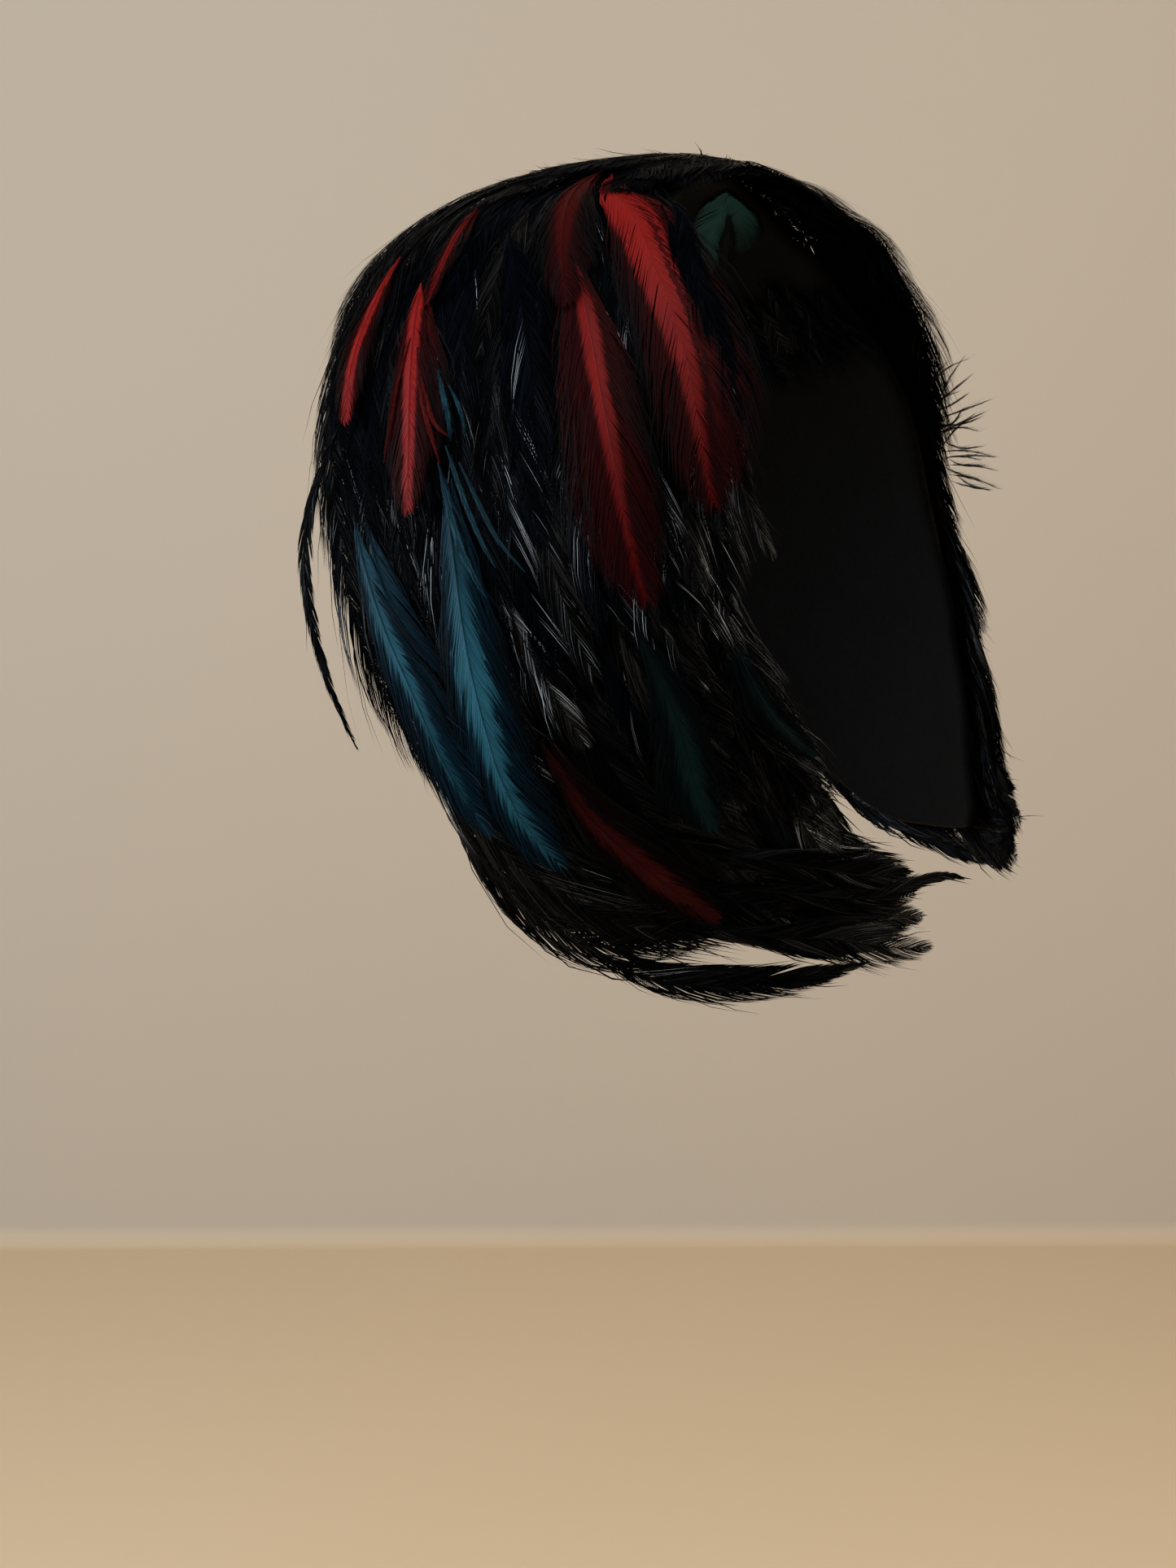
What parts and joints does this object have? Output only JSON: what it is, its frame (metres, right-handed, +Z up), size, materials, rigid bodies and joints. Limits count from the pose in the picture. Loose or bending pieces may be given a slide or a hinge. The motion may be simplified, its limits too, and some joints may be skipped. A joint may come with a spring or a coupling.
{
  "type": "feather half hat",
  "caption": "Feather half hat: a stiff band over the crown with two wings that curl forward at the cheeks, covered in overlapping black feathers with red, blue and teal ones.",
  "frame": {"origin": "the middle of the band's underside on the crown, where the hat sits on a head", "axes": "+Z up, -Y to the front of the face, -X to the wearer's right"},
  "size_m": [0.1936, 0.1224, 0.1612],
  "materials": {
    "band": "matte black millinery cloth over a stiff foundation",
    "black_feather": "glossy black feather with a faint blue sheen",
    "red_feather": "dyed feather, satin red stripe with dark red edges",
    "blue_feather": "dyed feather, satin blue stripe with dark blue edges",
    "teal_feather": "dyed feather, dark teal satin",
    "rust_feather": "dyed feather, dull dark red"
  },
  "bodies": {
    "root": {"base_band": "band", "crown_feather_row": "black_feather", "inner_fringe": "black_feather", "inner_teal_feather": "teal_feather", "left_black_feather_tip_long": "black_feather", "left_black_feather_tip_low": "black_feather", "left_blue_feather_back": "blue_feather", "left_blue_feather_middle": "blue_feather", "left_feather_row_1": "black_feather", "left_feather_row_2": "black_feather", "left_feather_row_3": "black_feather", "left_feather_row_4": "black_feather", "left_feather_row_5": "black_feather", "left_red_feather_back": "red_feather", "left_red_feather_back_long": "red_feather", "left_red_feather_front_long": "red_feather", "left_red_feather_middle": "red_feather", "left_rust_feather_low": "rust_feather", "left_teal_feather_low": "teal_feather", "right_black_feather_stray": "black_feather", "right_black_feather_tip_long": "black_feather", "right_black_feather_tip_low": "black_feather", "right_blue_feather_back": "blue_feather", "right_blue_feather_middle": "blue_feather", "right_feather_row_1": "black_feather", "right_feather_row_2": "black_feather", "right_feather_row_3": "black_feather", "right_feather_row_4": "black_feather", "right_feather_row_5": "black_feather", "right_red_feather_back": "red_feather", "right_red_feather_back_long": "red_feather", "right_red_feather_front_long": "red_feather", "right_red_feather_middle": "red_feather", "right_rust_feather_low": "rust_feather", "right_teal_feather_edge": "teal_feather", "right_teal_feather_low": "teal_feather"}
  },
  "joints": []
}
